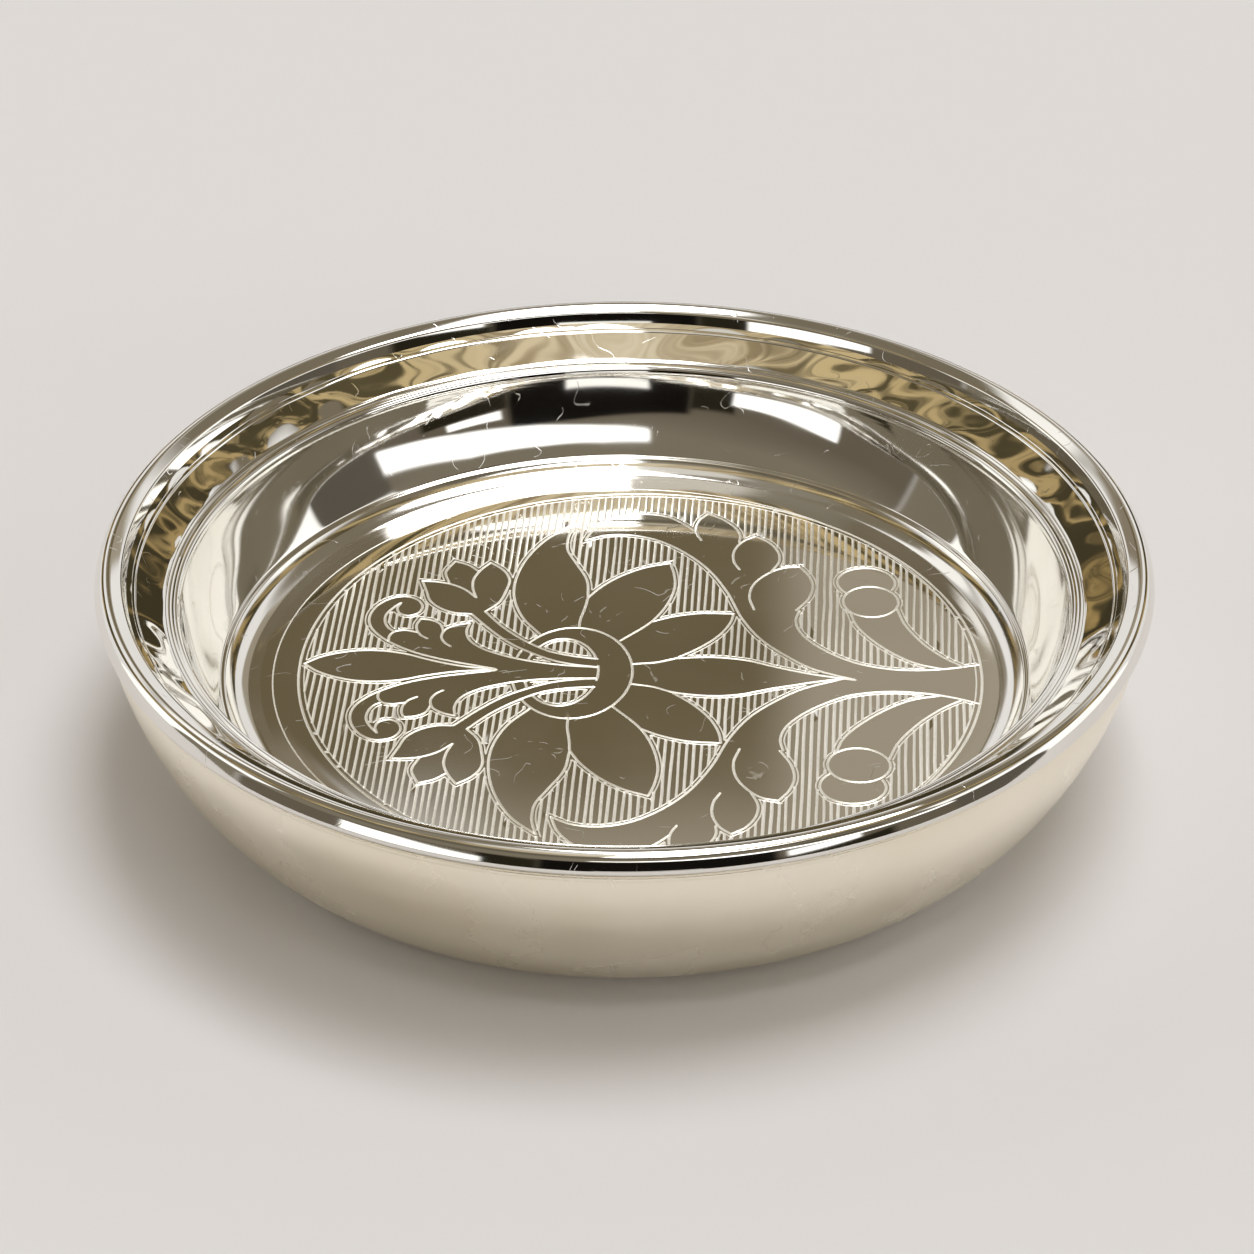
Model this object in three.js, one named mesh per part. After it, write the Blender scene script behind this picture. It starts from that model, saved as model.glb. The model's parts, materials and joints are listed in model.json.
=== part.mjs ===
// A round double-walled metal dish: a spun inner dish whose edge is folded over a wire,
// and a deeper spun casing whose lip is trapped in the mouth of that fold.
// Millimetres, +Z up, origin at the middle of the base.
import * as THREE from 'three';

// Driving dimensions
const overallDiameter = 152;    // across the rim
const overallHeight = 32.55;    // from the table to the top of the rim
const sheetThickness = 0.7;     // both spun sheets
const wireDiameter = 1.3;       // wire inside the rim
const clearance = 0.3;          // between pieces that touch

// Rim, from its outside over the top to the crease on its inside
const hemTurn = 82;             // degrees that the hem turns in under the casing's lip
const hemRadius = 0.1;          // inside the hem
const skirtLean = 22;           // degrees that the outer side leans in towards the top
const skirtLength = 1.1;
const rimWidth = 4.55;          // from the outside to the crease
const creaseDepth = 2.25;       // from the top down to the crease
const curbWidth = 0.4;          // steep edge that stands on the crease
const curbHeight = 1.15;

// Inner dish, from the rim down to the floor
const flareWidth = 5.2;         // sloping band under the rim
const flareDrop = 3.9;
const shoulderWidth = 2.2;      // rounded step below the band
const shoulderDrop = 1.3;
const bowlWidth = 5.1;          // steep hollow wall below the step
const bowlHollow = 0.45;        // how far that wall bows out from a straight line
const ledgeWidth = 0.7;         // narrow ledge at the foot of the hollow wall
const coveWidth = 3.6;          // rounding from the ledge down to the floor
const coveHeight = 1.6;
const floorDepth = 20.85;       // from the top of the rim down to the floor

// Outer casing
const baseRadius = 57;          // where the rounded wall meets the flat underside
const wallFullness = 1.55;      // 1 is a straight cone, 2 is a quarter ellipse
const standingRingWidth = 5;    // flat ring that the dish stands on
const pushUpHeight = 0.8;       // the underside inside that ring is pushed up
const pushUpSlopeWidth = 2;
const ventDiameter = 2;         // lets air out of the closed hollow while the rim is soldered

// Facets
const turnSides = 56;           // round the axis
const quarterSides = 4;         // for each quarter turn of an arc
const shoulderSides = 3;
const bowlSides = 6;
const wallSides = 11;

const point = (r, z) => new THREE.Vector2(r, z);
const radians = THREE.MathUtils.degToRad;
const degrees = THREE.MathUtils.radToDeg;

// Points on a circle about (r, z), from one angle to another in degrees, both ends included.
function arc(r, z, radius, from, to) {
  const sides = Math.ceil(Math.abs(to - from) / 90 * quarterSides);
  return Array.from({ length: sides + 1 }, (_, i) => {
    const angle = radians(from + (to - from) * i / sides);
    return point(r + radius * Math.cos(angle), z + radius * Math.sin(angle));
  });
}

// The same line moved sideways by a distance, to the right of its direction of travel.
// Each corner moves along the mitre of its two neighbouring edges.
function offset(line, distance) {
  return line.map((here, i) => {
    const before = line[Math.max(i - 1, 0)];
    const after = line[Math.min(i + 1, line.length - 1)];
    const first = (i > 0 ? here.clone().sub(before) : after.clone().sub(here)).normalize();
    const second = (i < line.length - 1 ? after.clone().sub(here) : first.clone()).normalize();
    const normal = point(first.y + second.y, -first.x - second.x).normalize();
    const mitre = distance / (normal.x * first.y - normal.y * first.x);
    return here.clone().addScaledVector(normal, mitre);
  });
}

// Spins an outline about +Z. The outline runs out along the underside and back along the top,
// and it starts and ends on the axis or closes on itself.
function spin(outline) {
  const closed = outline[0].x === 0 ? outline : [...outline, outline[0].clone()];
  return new THREE.LatheGeometry(closed, turnSides).rotateX(Math.PI / 2);
}

// The rim: the wire, the sheet's round top over it, the straight skirt outside and the hem.
const wireRadius = wireDiameter / 2;
const topInside = wireRadius + clearance;
const topOutside = topInside + sheetThickness;
const hemOutside = hemRadius + sheetThickness;
const lean = radians(skirtLean);
const hemCentreRadius = overallDiameter / 2 - hemOutside;
const rimRadius = hemCentreRadius - skirtLength * Math.sin(lean) - (topOutside - hemOutside) * Math.cos(lean);
const rimHeight = overallHeight - topOutside;
const hemCentreHeight = rimHeight - skirtLength * Math.cos(lean) + (topOutside - hemOutside) * Math.sin(lean);

// Radii and heights of the inner dish's visible face, from the rim inwards.
const creaseRadius = overallDiameter / 2 - rimWidth;
const creaseHeight = overallHeight - creaseDepth;
const shoulderRadius = creaseRadius - flareWidth;
const shoulderHeight = creaseHeight - flareDrop;
const bowlTopRadius = shoulderRadius - shoulderWidth;
const bowlTopHeight = shoulderHeight - shoulderDrop;
const bowlFootRadius = bowlTopRadius - bowlWidth;
const coveTopRadius = bowlFootRadius - ledgeWidth;
const floorRadius = coveTopRadius - coveWidth;
const floorHeight = overallHeight - floorDepth;
const coveTopHeight = floorHeight + coveHeight;

// The visible face, from the floor's edge out to the crease under the rim.
function dishFace() {
  const coveRadius = (coveWidth ** 2 + coveHeight ** 2) / 2 / coveHeight;
  const coveTurn = 2 * degrees(Math.atan2(coveHeight, coveWidth));
  const foot = point(bowlFootRadius, coveTopHeight);
  const top = point(bowlTopRadius, bowlTopHeight);
  const chord = top.clone().sub(foot);
  const outward = point(chord.y, -chord.x).normalize();
  const bowed = foot.clone().add(top).divideScalar(2).addScaledVector(outward, 2 * bowlHollow);
  const shoulder = point(shoulderRadius, shoulderHeight);
  const shoulderCorner = point(bowlTopRadius, shoulderHeight);
  return [
    ...arc(floorRadius, floorHeight + coveRadius, coveRadius, -90, coveTurn - 90),
    ...new THREE.QuadraticBezierCurve(foot, bowed, top).getPoints(bowlSides),
    ...new THREE.QuadraticBezierCurve(top, shoulderCorner, shoulder).getPoints(shoulderSides).slice(1),
    point(creaseRadius, creaseHeight),
  ];
}

// The rim's visible face, from the curb on the crease over the top to the end of the hem.
// The sheet runs straight from the curb to where it touches the round top. The top and the
// widest point are corners, so that the facets reach the full size.
function rimFace() {
  const curb = point(creaseRadius + curbWidth, creaseHeight + curbHeight);
  const fromWire = curb.clone().sub(point(rimRadius, rimHeight));
  const touch = degrees(Math.atan2(fromWire.y, fromWire.x) - Math.acos(topOutside / fromWire.length()));
  return [
    curb,
    ...arc(rimRadius, rimHeight, topOutside, touch, 90),
    ...arc(rimRadius, rimHeight, topOutside, 90, skirtLean).slice(1),
    ...arc(hemCentreRadius, hemCentreHeight, hemOutside, skirtLean, 0),
    ...arc(hemCentreRadius, hemCentreHeight, hemOutside, 0, skirtLean - hemTurn).slice(1),
  ];
}

// The casing's lip stands inside the hem and ends below the wire.
const hemMouth = hemCentreRadius + hemRadius * Math.cos(radians(skirtLean - hemTurn));
const lipOutside = hemMouth - clearance;
const lipInside = lipOutside - sheetThickness;
const lipTop = rimHeight - Math.sqrt(topInside ** 2 - Math.max(lipInside - rimRadius, 0) ** 2);

function innerDish() {
  const face = [...dishFace(), ...rimFace()];
  return spin([
    point(0, floorHeight - sheetThickness),
    ...offset(face, sheetThickness),
    ...face.reverse(),
    point(0, floorHeight),
  ]);
}

// Rounded wall, from the flat underside up to the mouth of the rim: a quarter of a superellipse.
function casingWall() {
  const wallTop = rimHeight - topOutside;
  return Array.from({ length: wallSides + 1 }, (_, i) => {
    const angle = Math.PI / 2 * (1 - i / wallSides);
    const outward = Math.max(Math.cos(angle), 0) ** (2 / wallFullness);
    const downward = Math.sin(angle) ** (2 / wallFullness);
    return point(baseRadius + (lipOutside - baseRadius) * outward, wallTop * (1 - downward));
  });
}

function outerCasing() {
  const ringInside = baseRadius - standingRingWidth;
  const outside = [
    point(ventDiameter / 2, pushUpHeight),
    point(ringInside - pushUpSlopeWidth, pushUpHeight),
    point(ringInside, 0),
    ...casingWall(),
    point(lipOutside, lipTop),
  ];
  const inside = offset(outside, -sheetThickness);
  return spin([...outside, ...inside.reverse()]);
}

function rimWire() {
  return spin(arc(rimRadius, rimHeight, wireRadius, 0, 360).slice(0, -1));
}

// Finishes
const nickelSilver = { color: 0xd8cfb8, roughness: 0.07, metalness: 1 };
const drawnBrass = { color: 0xc9a254, roughness: 0.35, metalness: 1 };

function piece(name, geometry, finish) {
  const mesh = new THREE.Mesh(geometry, new THREE.MeshStandardMaterial(finish));
  mesh.name = name;
  return mesh;
}

const dish = new THREE.Group();
dish.add(piece('inner_dish', innerDish(), nickelSilver));
dish.add(piece('outer_casing', outerCasing(), nickelSilver));
dish.add(piece('rim_wire', rimWire(), drawnBrass));

export default dish;
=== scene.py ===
import json
import bpy
import numpy as np
from mathutils.geometry import delaunay_2d_cdt
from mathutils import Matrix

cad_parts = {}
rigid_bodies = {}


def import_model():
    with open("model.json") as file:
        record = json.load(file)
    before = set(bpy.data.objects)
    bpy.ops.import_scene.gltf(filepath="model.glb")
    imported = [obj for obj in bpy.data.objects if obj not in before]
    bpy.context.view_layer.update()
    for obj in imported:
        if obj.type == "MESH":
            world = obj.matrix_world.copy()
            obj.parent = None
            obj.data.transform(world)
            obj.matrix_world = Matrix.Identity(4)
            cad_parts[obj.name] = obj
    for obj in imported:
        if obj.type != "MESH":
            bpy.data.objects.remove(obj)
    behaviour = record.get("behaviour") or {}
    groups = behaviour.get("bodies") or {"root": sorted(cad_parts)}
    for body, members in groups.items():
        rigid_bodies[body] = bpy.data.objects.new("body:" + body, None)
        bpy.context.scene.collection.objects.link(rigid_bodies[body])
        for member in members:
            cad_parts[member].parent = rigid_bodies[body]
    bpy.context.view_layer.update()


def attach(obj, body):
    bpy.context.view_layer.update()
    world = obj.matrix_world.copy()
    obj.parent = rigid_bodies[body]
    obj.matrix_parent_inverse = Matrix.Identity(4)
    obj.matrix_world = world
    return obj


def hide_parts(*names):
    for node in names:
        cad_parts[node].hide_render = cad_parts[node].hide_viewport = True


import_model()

mm = 0.001      # in metres
print("frame loaded")


# Lines in a plane, as arrays of points in millimetres

def arcPoints(centre, radius, start, end, steps):
    # centre + radius (cos a, sin a), with a spread evenly from start to end degrees
    a = np.radians(np.linspace(start, end, steps + 1))
    return np.column_stack([centre[0] + radius * np.cos(a), centre[1] + radius * np.sin(a)])


def bendPoints(start, corner, end, steps):
    # (1 - t)^2 start + 2 t (1 - t) corner + t^2 end, for t from 0 to 1
    t = np.linspace(0, 1, steps + 1)[:, None]
    return (1 - t) ** 2 * np.array(start) + 2 * t * (1 - t) * np.array(corner) + t ** 2 * np.array(end)


def evenly(line, step):
    # the same line, with its points at equal distances along it
    run = np.append(0, np.cumsum(np.linalg.norm(np.diff(line, axis=0), axis=1)))
    at = np.linspace(0, run[-1], max(int(np.ceil(run[-1] / step)), 1) + 1)
    return np.column_stack([np.interp(at, run, line[:, 0]), np.interp(at, run, line[:, 1])])


def smoothLine(points, step):
    # cubic pieces through the points; the tangents weigh each side by the root of its length
    p = np.array(points, float)
    t = np.append(0, np.cumsum(np.linalg.norm(np.diff(p, axis=0), axis=1) ** 0.5))
    rate = np.diff(p, axis=0) / np.diff(t)[:, None]
    span = (p[2:] - p[:-2]) / (t[2:] - t[:-2])[:, None]
    tangent = np.vstack([rate[:1], rate[:-1] - span + rate[1:], rate[-1:]])
    samples = 40 * len(p)
    u = np.linspace(0, t[-1], samples)
    i = np.clip(np.searchsorted(t, u, side="right") - 1, 0, len(t) - 2)
    h = (t[i + 1] - t[i])[:, None]
    s = (u - t[i])[:, None] / h
    curve = (2 * s ** 3 - 3 * s ** 2 + 1) * p[i] + (s ** 3 - 2 * s ** 2 + s) * h * tangent[i]
    curve += (3 * s ** 2 - 2 * s ** 3) * p[i + 1] + (s ** 3 - s ** 2) * h * tangent[i + 1]
    return evenly(curve, step)


def moved(line, distance):
    # each point goes to the right of the direction of travel by the distance
    along = np.gradient(line, axis=0)
    along /= np.linalg.norm(along, axis=1)[:, None]
    return line + distance * np.column_stack([along[:, 1], -along[:, 0]])


# Spun surfaces

def spun(profile, sides, relief):
    # point (i, j) is (r_i cos a_j, r_i sin a_j, z_i), with a_j = 2 pi j / sides, plus relief in r and z
    a = np.arange(sides) * 2 * np.pi / sides
    out = np.broadcast_to(profile[:, None, :], (len(profile), sides, 2)) + relief
    return np.stack([out[..., 0] * np.cos(a), out[..., 0] * np.sin(a), out[..., 1]], -1)


def quadsBetween(rows):
    # one quad between each two neighbours of two neighbouring rows of point numbers
    turned = np.roll(rows, -1, axis=1)
    return np.stack([rows[:-1], turned[:-1], turned[1:], rows[1:]], -1).reshape(-1, 4)


sharpAngle = 14     # degrees; an edge that turns by more stays sharp


def makePiece(name, points, faces, materials, nodes, kinds=None):
    # a smooth mesh in metres from points in millimetres; kinds are the numbers of its faces' materials
    mesh = bpy.data.meshes.new(name)
    mesh.from_pydata((points * mm).tolist(), [], [face.tolist() for group in faces for face in group])
    mesh.set_sharp_from_angle(angle=np.radians(sharpAngle))
    if kinds is not None:
        mesh.polygons.foreach_set("material_index", kinds.astype(np.int32))
    for material in materials:
        mesh.materials.append(material)
    mesh.update()
    mesh.validate()
    piece = bpy.data.objects.new(name, mesh)
    bpy.context.scene.collection.objects.link(piece)
    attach(piece, "root")
    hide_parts(*nodes)
    print("%s: %d points, %d faces" % (name, len(mesh.vertices), len(mesh.polygons)))


# Materials

def addNode(tree, kind, inputs=None, **settings):
    # one shader node; an input is a value or the output of another node
    made = tree.nodes.new("ShaderNode" + kind)
    for key, value in settings.items():
        setattr(made, key, value)
    for key, value in (inputs or {}).items():
        if isinstance(value, bpy.types.NodeSocket):
            tree.links.new(value, made.inputs[key])
        else:
            made.inputs[key].default_value = value
    return made


def maths(tree, operation, *values):
    # the result of one operation on numbers and outputs
    return addNode(tree, "Math", dict(enumerate(values)), operation=operation).outputs[0]


def ranged(tree, value, low, high, toLow=0.0, toHigh=1.0):
    # low..high goes smoothly to toLow..toHigh
    return addNode(tree, "MapRange", {0: value, 1: low, 2: high, 3: toLow, 4: toHigh},
                   interpolation_type="SMOOTHSTEP").outputs[0]


def noise(tree, place, scale, detail=2.0, distortion=0.0):
    # cloudy values from 0 to 1, about 0.5 on average
    return addNode(tree, "TexNoise", {"Vector": place, "Scale": scale, "Detail": detail,
                                      "Distortion": distortion}).outputs["Fac"]


def mixed(tree, amount, first, second):
    # first + amount (second - first)
    colours = [(*one, 1) if isinstance(one, tuple) else one for one in (first, second)]
    return addNode(tree, "Mix", {0: amount, 6: colours[0], 7: colours[1]}, data_type="RGBA").outputs[2]


def metal(name, look):
    # metal with soft changes of tone and haze, a slow waviness and fine curved scratches
    made = bpy.data.materials.new(name)
    made.use_nodes = True
    tree = made.node_tree
    shader = tree.nodes["Principled BSDF"]
    shader.inputs["Metallic"].default_value = 1.0
    place = addNode(tree, "TexCoord").outputs["Object"]
    cloud = noise(tree, place, look["cloudScale"])
    tree.links.new(mixed(tree, ranged(tree, cloud, *look["cloudEdges"]), look["dark"], look["light"]),
                   shader.inputs["Base Color"])
    # a scratch is a short stretch of the line where a distorted noise crosses its middle value
    lines = noise(tree, place, look["scratchScale"], 1.0, look["scratchCurl"])
    away = maths(tree, "ABSOLUTE", maths(tree, "SUBTRACT", lines, 0.5))
    stretch = ranged(tree, noise(tree, place, look["stretchScale"], 3.0), *look["stretchEdges"])
    scratch = maths(tree, "MULTIPLY", ranged(tree, away, 0.0, look["scratchWidth"], 1.0, 0.0), stretch)
    haze = noise(tree, place, look["hazeScale"], 4.0)
    haze = ranged(tree, haze, *look["hazeEdges"], look["rough"], look["rougher"])
    rough = maths(tree, "MULTIPLY_ADD", scratch, look["scratchRough"], haze)
    tree.links.new(rough, shader.inputs["Roughness"])
    wave = noise(tree, place, look["waveScale"], 1.0)
    first = addNode(tree, "Bump", {"Height": wave, "Distance": look["waveHeight"] * mm})
    second = addNode(tree, "Bump", {"Height": scratch, "Distance": -look["scratchDepth"] * mm,
                                    "Normal": first.outputs[0]})
    tree.links.new(second.outputs[0], shader.inputs["Normal"])
    return made


# Scales are in cycles for each metre, heights and depths in millimetres. Edges are the two values of a noise
# between which the look changes.
mirrorLook = {
    "dark": (0.83, 0.813, 0.77), "light": (0.885, 0.869, 0.832), "cloudScale": 30, "cloudEdges": (0.35, 0.65),
    "rough": 0.03, "rougher": 0.06, "hazeScale": 60, "hazeEdges": (0.3, 0.7),
    "waveScale": 60, "waveHeight": 0.004,
    "scratchScale": 160, "scratchCurl": 0.6, "scratchWidth": 0.008, "stretchScale": 208,
    "stretchEdges": (0.56, 0.61), "scratchRough": 0.15, "scratchDepth": 0.004,
}
satinLook = {   # duller, and without scratches
    **mirrorLook, "dark": (0.93, 0.865, 0.71), "light": (0.97, 0.91, 0.78), "rough": 0.2, "rougher": 0.3,
    "scratchRough": 0.0, "scratchDepth": 0.0,
}
softLook = {
    **mirrorLook, "rough": 0.06, "rougher": 0.12,
}
cutLook = {     # the sides of the grooves
    **mirrorLook, "dark": (0.93, 0.90, 0.82), "light": (0.98, 0.96, 0.90), "rough": 0.4, "rougher": 0.55,
}
wireLook = {
    **mirrorLook, "dark": (0.62, 0.42, 0.16), "light": (0.72, 0.52, 0.24), "rough": 0.25, "rougher": 0.4,
}
mirrorMetal = metal("mirrorMetal", mirrorLook)
satinMetal = metal("satinMetal", satinLook)
softMetal = metal("softMetal", softLook)
cutMetal = metal("cutMetal", cutLook)
wireMetal = metal("wireMetal", wireLook)
print("materials made")


# The dish, in millimetres and degrees. The large sizes are as in the CAD part but for the two that say so.
dish = {
    "diameter": 152, "height": 32.55, "sheet": 0.7, "wire": 1.3, "clearance": 0.3,
    "hemTurn": 82, "hemRadius": 0.1, "skirtLength": 1.1,
    "skirtLean": 24.6,          # the CAD part has 22; a spun skirt opens a little at the hem
    "rimWidth": 4.55, "creaseDepth": 2.25, "curbWidth": 0.4, "curbHeight": 1.15,
    "edge": (0.55, 1.7),        # the visible side of that curb, across and up; larger than in the CAD part
    "edgeRound": (0.3, 0.5),    # the rounding at its top, down and across
    "footSpan": 0.2,            # the stretch at its foot that has points of its own
    "flareWidth": 5.2, "flareDrop": 3.9, "shoulderWidth": 2.2, "shoulderDrop": 1.3,
    "bowlWidth": 5.1, "bowlHollow": 0.45, "ledgeWidth": 0.7, "coveWidth": 3.6, "coveHeight": 1.6,
    "ledgeRound": 0.28,
    "floorDepth": 20.85,
    "engravedRadius": 53.2,     # the floor inside this is one mesh with its grooves
    "scribedRadius": 51.4,      # a fine scribed ring
    "fallRadius": 49.2,         # from here the floor falls away a little towards its edge
    "fallSlope": 2.5,           # reached at the scribed ring
    "stepBeads": [(64.45, 0.34, 0.12), (65.2, 0.3, 0.1), (66.1, 0.4, 0.1)],     # radius, half width, height
    "stepZone": (63.7, 66.8, 0.11),     # radius from and to, and the finer step of the line between
    "flareLines": (0.8, 1.5),   # fine raised lines, from the crease
    "flareLine": (0.13, 0.03),  # half width and height of each
    "flareZone": (0.2, 0.07),   # how far past them the line is finer, and its step there
    "softInside": 58.2,         # the rounding inside this is a little less polished
    "handFrom": (55, 4),        # the spinner's marks start at this radius and grow over this distance
    "handEnd": 0.8,             # and fade out over this at the crease
    "flareFrom": 66.4,          # inside this radius they are the bowl's, and outside it the flare's
    "flareHand": {"height": 0.0125, "seed": 3, "counts": (12, 50), "drifts": (0.05, 0.6)},
    "bowlHand": {"height": 0.0035, "seed": 4, "counts": (3, 12), "drifts": (0.25, 0.7)},
    "frontHand": 0.3,           # share of the flare's marks at the front and the back
    "backRings": (12, 50),      # radii of the first points of the hidden face
    "sides": 288,
    "steps": {                  # facets along each stretch of the outline
        "floor": 6, "cove": 14, "bend": 8, "bowl": 22, "shoulder": 16, "flare": 15, "top": 30, "hem": 12,
    },
}

topInside = dish["wire"] / 2 + dish["clearance"]
topOutside = topInside + dish["sheet"]
hemOutside = dish["hemRadius"] + dish["sheet"]
lean = np.radians(dish["skirtLean"])
leaning = np.array([-np.sin(lean), np.cos(lean)])       # up the skirt
outwards = np.array([np.cos(lean), np.sin(lean)])       # square to it
rimHeight = dish["height"] - topOutside
hemRadius = dish["diameter"] / 2 - hemOutside
rimRadius = hemRadius - dish["skirtLength"] * np.sin(lean) - (topOutside - hemOutside) * np.cos(lean)
rimCentre = np.array([rimRadius, rimHeight])
hemCentre = rimCentre + (topOutside - hemOutside) * outwards - dish["skirtLength"] * leaning
creaseAt = np.array([dish["diameter"] / 2 - dish["rimWidth"], dish["height"] - dish["creaseDepth"]])
shoulderAt = creaseAt - (dish["flareWidth"], dish["flareDrop"])
bowlTop = shoulderAt - (dish["shoulderWidth"], dish["shoulderDrop"])
floorHeight = dish["height"] - dish["floorDepth"]
bowlFoot = np.array([bowlTop[0] - dish["bowlWidth"], floorHeight + dish["coveHeight"]])
coveTop = bowlFoot - (dish["ledgeWidth"], 0)
floorRadius = coveTop[0] - dish["coveWidth"]
hemEnd = dish["skirtLean"] - dish["hemTurn"]
lipOutside = hemCentre[0] + dish["hemRadius"] * np.cos(np.radians(hemEnd)) - dish["clearance"]


def floorFall(radius):
    # nothing at first, then a parabola as far as the scribed ring, then its tangent
    slope, bend = np.tan(np.radians(dish["fallSlope"])), dish["scribedRadius"] - dish["fallRadius"]
    beyond = np.maximum(radius - dish["fallRadius"], 0)
    return slope * np.where(beyond < bend, beyond ** 2 / 2 / bend, beyond - bend / 2)


def beads(line, places):
    # a bead is a bump height (1 - (d / width)^2)^2, square to the line; d is measured in radius
    lift = np.zeros(len(line))
    for radius, width, height in places:
        lift += height * np.clip(1 - ((line[:, 0] - radius) / width) ** 2, 0, None) ** 2
    along = np.gradient(line, axis=0)
    along /= np.linalg.norm(along, axis=1)[:, None]
    return line + lift[:, None] * np.column_stack([-along[:, 1], along[:, 0]])


def dishFace():
    # the visible face, from the edge of the engraved floor out to the crease under the rim
    coveRadius = (dish["coveWidth"] ** 2 + dish["coveHeight"] ** 2) / 2 / dish["coveHeight"]
    coveTurn = 2 * np.degrees(np.arctan2(dish["coveHeight"], dish["coveWidth"]))
    start, steps = (dish["engravedRadius"], floorHeight), dish["steps"]
    ring = np.linspace(start, (floorRadius, floorHeight), steps["floor"] + 1)[:-1]
    cove = arcPoints((floorRadius, floorHeight + coveRadius), coveRadius, -90, coveTurn - 90, steps["cove"])
    chord = bowlTop - bowlFoot
    outward = np.array([chord[1], -chord[0]]) / np.linalg.norm(chord)
    bowed = (bowlTop + bowlFoot) / 2 + 2 * dish["bowlHollow"] * outward
    bowl = bendPoints(bowlFoot, bowed, bowlTop, steps["bowl"])
    shoulder = bendPoints(bowlTop, (bowlTop[0], shoulderAt[1]), shoulderAt, steps["shoulder"])
    flare = np.linspace(shoulderAt, creaseAt, steps["flare"] + 1)
    # the ledge is rounded over at its inner edge and rounded in at the foot of the bowl
    soft, leastGap = dish["ledgeRound"], 0.05
    climb = np.array([np.cos(np.radians(coveTurn)), np.sin(np.radians(coveTurn))])
    over = bendPoints(coveTop - soft * climb, coveTop, coveTop + (soft, 0), steps["bend"])
    rise = (bowl[3] - bowl[0]) / np.linalg.norm(bowl[3] - bowl[0])
    inTurn = bendPoints(bowlFoot - (soft, 0), bowlFoot, bowlFoot + soft * rise, steps["bend"])
    bowl = bowl[bowl[:, 1] > inTurn[-1, 1] + leastGap]
    cove = cove[cove[:, 0] < over[0, 0] - leastGap]
    line = np.vstack([ring, cove, over, inTurn, bowl, shoulder[1:], flare[1:]])
    # the fall of the floor fades out up the cove
    fading = np.clip((coveTop[0] - line[:, 0]) / dish["coveWidth"], 0, 1)
    line[:, 1] -= floorFall(np.minimum(line[:, 0], floorRadius)) * fading
    return line


def stepRelief(line):
    # finer points where the beads of the step and the lines of the flare are, then these themselves
    slant = np.hypot(dish["flareWidth"], dish["flareDrop"])
    radii = [creaseAt[0] - away * dish["flareWidth"] / slant for away in dish["flareLines"]]
    past, fineStep = dish["flareZone"]
    parts, done = [], 0
    for start, end, step in (dish["stepZone"], (min(radii) - past, max(radii) + past, fineStep)):
        parts += [line[(line[:, 0] > done) & (line[:, 0] < start)],
                  evenly(line[(line[:, 0] >= start) & (line[:, 0] <= end)], step)]
        done = end
    joined = np.vstack([*parts, line[line[:, 0] > done]])
    return beads(joined, dish["stepBeads"] + [(radius, *dish["flareLine"]) for radius in radii])


def rimFace():
    # from just past the crease up the curb, straight to the round top, down the skirt and round the hem
    curb, steps = creaseAt + dish["edge"], dish["steps"]
    away = curb - rimCentre
    touch = np.arctan2(away[1], away[0]) - np.arccos(topOutside / np.linalg.norm(away))
    top = arcPoints(rimCentre, topOutside, np.degrees(touch), dish["skirtLean"], steps["top"])
    rise = (curb - creaseAt) / np.linalg.norm(curb - creaseAt)
    across = (top[0] - curb) / np.linalg.norm(top[0] - curb)
    down, along = dish["edgeRound"]
    foot = np.linspace(creaseAt, creaseAt + dish["footSpan"] * rise, 3)
    edge = bendPoints(curb - down * rise, curb, curb + along * across, steps["bend"])
    hem = arcPoints(hemCentre, hemOutside, dish["skirtLean"], hemEnd, steps["hem"])
    return np.vstack([foot[1:], edge, top, hem])


def dishBack():
    # the hidden face, from near the axis out over the wire to the end of the hem: the visible face, coarser
    # and with the CAD part's curb, moved in by the sheet
    face, rim = dishFace()[::4], rimFace()
    curb = creaseAt + (dish["curbWidth"], dish["curbHeight"])
    beforeCrease, pastCurb = creaseAt[0] - 0.3, curb[0] + 0.6
    coarse = np.vstack([face[face[:, 0] < beforeCrease], creaseAt, curb, rim[rim[:, 0] > pastCurb][::3]])
    rings = [(radius, floorHeight - dish["sheet"]) for radius in dish["backRings"]]
    return np.vstack([rings, moved(coarse, dish["sheet"])])


handRadius = 70     # millimetres; the length of a wave round the axis is measured there


def handWork(angle, run, hand):
    # height times the sum of sin(n angle + phase + q run) / hypot(q, n / handRadius), with n waves round
    # the axis and q radians for each mm of the run, so that every wave is equally steep
    rng = np.random.default_rng(hand["seed"])
    total = 0
    for count in range(*hand["counts"]):
        phase, drift = rng.uniform(0, 2 * np.pi), rng.uniform(*hand["drifts"]) * rng.choice([-1, 1])
        wave = np.sin(count * angle[None, :] + phase + drift * run[:, None])
        total = total + wave / np.hypot(drift, count / handRadius)
    return hand["height"] * total


print("sizes worked out")


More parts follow.
